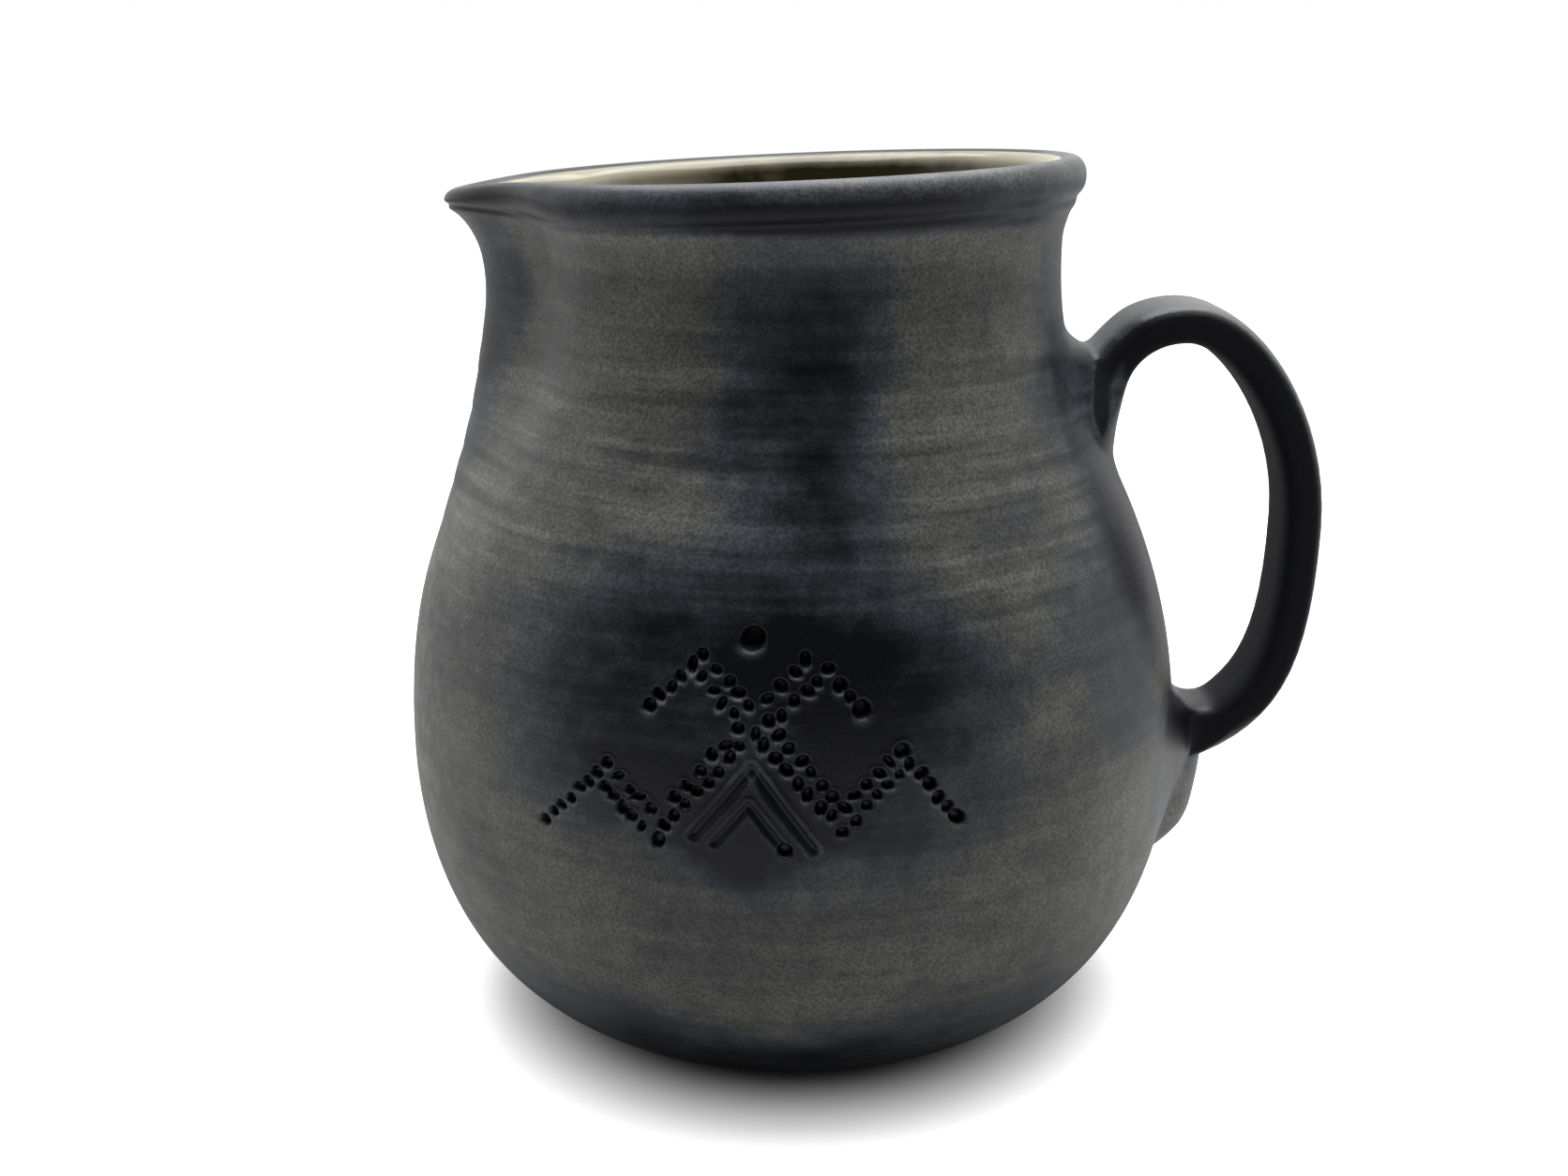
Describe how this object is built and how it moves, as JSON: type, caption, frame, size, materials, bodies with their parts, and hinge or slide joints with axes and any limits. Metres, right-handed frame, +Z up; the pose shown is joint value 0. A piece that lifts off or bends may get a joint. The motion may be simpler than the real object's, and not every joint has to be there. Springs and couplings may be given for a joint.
{
  "type": "jug",
  "caption": "Round-bellied earthenware jug with a pulled pouring spout, a rolled rim, a strap handle with a pressed tail and a glazed inside, for serving drinks.",
  "frame": {"origin": "centre of the flat base, on the pot's turning axis", "axes": "+Z up along the turning axis, spout towards -X, handle towards +X"},
  "size_m": [0.1535, 0.1304, 0.1428],
  "materials": {
    "smoked_clay": "matte smoke-fired earthenware with cloudy charcoal and grey-green patches",
    "smoked_strap": "matte smoke-fired earthenware, blacker, with paler worn edges",
    "luting_slip": "matte smoothed clay slip",
    "inner_glaze": "glossy olive-brown glaze"
  },
  "bodies": {
    "root": {"thrown_body": "smoked_clay", "handle": "smoked_strap", "upper_luting": "luting_slip", "lower_luting": "luting_slip", "glaze_lining": "inner_glaze"}
  },
  "joints": []
}
